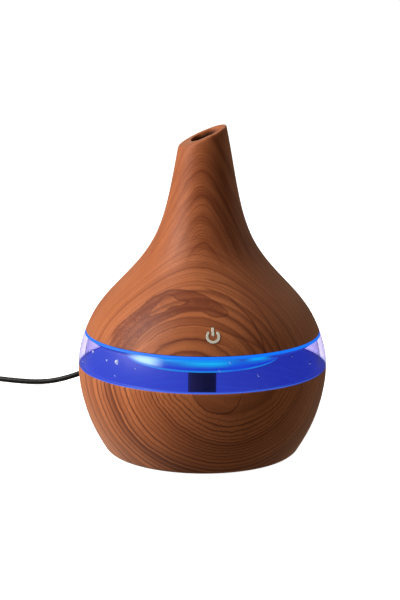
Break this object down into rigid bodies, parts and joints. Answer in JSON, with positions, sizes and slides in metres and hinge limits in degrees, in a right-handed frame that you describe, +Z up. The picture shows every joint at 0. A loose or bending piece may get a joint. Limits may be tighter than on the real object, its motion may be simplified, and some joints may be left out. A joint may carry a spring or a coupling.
{
  "type": "cool mist humidifier",
  "caption": "Drop-shaped cool mist humidifier: wood-look head with a slanted spout and a wick atomiser, on a round tank with a glowing clear band.",
  "frame": {"origin": "on the vertical axis, at the surface that the base stands on", "axes": "+Z up, -Y towards the front with the power symbol, +X towards the spout's high side"},
  "size_m": [0.2053, 0.2416, 0.1399],
  "materials": {
    "wood_look": "satin plastic with a printed wood grain",
    "white_plastic": "satin white moulding",
    "clear_plastic": "clear polished plastic with a faint blue cast",
    "lamp_plastic": "translucent plastic lit blue from inside",
    "lit_silicone": "translucent silicone lit blue",
    "brown_plastic": "fine matt texture",
    "dark_plastic": "satin dark moulding",
    "black_plastic": "satin black moulding",
    "black_cable": "smooth soft vinyl",
    "black_strap": "woven hook-and-loop strap",
    "rubber": "soft matt rubber",
    "silicone": "translucent silicone",
    "symbol_white": "silvery white print",
    "steel": "bright steel",
    "brass": "bright brass",
    "copper": "bare copper foil",
    "ceramic": "fired piezo ceramic with a silvered face",
    "cotton": "pressed cotton fibre",
    "board_green": "solder-masked board",
    "led_white": "lamp lens lit blue",
    "ferrite": "sintered ferrite",
    "dark_sleeve": "shrunk sleeve",
    "lead_red": "wire insulation",
    "lead_black": "wire insulation"
  },
  "bodies": {
    "tank": {"lower_shell": "wood_look", "tank_liner": "white_plastic", "window_ring": "clear_plastic", "window_gasket": "silicone", "base_plate": "brown_plastic", "anti_slip_ring": "rubber", "base_screw_1": "steel", "base_screw_2": "steel", "base_screw_3": "steel", "lead_run": "black_cable", "lead_coil": "black_cable", "lead_tail": "black_cable", "coil_tie": "black_strap", "usb_relief": "black_plastic", "usb_body": "black_plastic", "usb_shell": "steel", "usb_tongue": "white_plastic"},
    "head": {"upper_shell": "wood_look", "power_symbol_ring": "symbol_white", "power_symbol_bar": "symbol_white", "lamp_pan": "lamp_plastic", "head_seal": "lit_silicone", "inner_column": "white_plastic", "column_gasket": "silicone", "spout_seal": "silicone", "mesh_plate": "steel", "piezo_ring": "ceramic", "lower_disc_gasket": "silicone", "upper_disc_gasket": "silicone", "disc_retainer": "white_plastic", "wick_tube": "dark_plastic", "wick": "cotton", "wick_spring": "steel", "wick_cap": "dark_plastic", "control_board": "board_green", "led_1": "led_white", "led_2": "led_white", "led_3": "led_white", "led_4": "led_white", "led_5": "led_white", "led_6": "led_white", "control_chip": "black_plastic", "driver_inductor": "ferrite", "filter_capacitor": "dark_sleeve", "touch_pad": "copper", "touch_lead": "lead_red", "disc_lead_1": "lead_red", "disc_lead_2": "lead_black", "dc_jack": "black_plastic", "jack_pin": "brass", "jack_board": "board_green", "pan_screw_1": "steel", "pan_screw_2": "steel", "pan_screw_3": "steel", "board_screw_1": "steel", "board_screw_2": "steel", "board_screw_3": "steel", "plug_barrel": "steel", "plug_body": "black_plastic", "plug_relief": "black_plastic"}
  },
  "joints": [
    {"name": "head_lift", "type": "slide", "parent": "tank", "child": "head", "axis": [0, 0, 1], "range_m": [0, 0.06]}
  ]
}
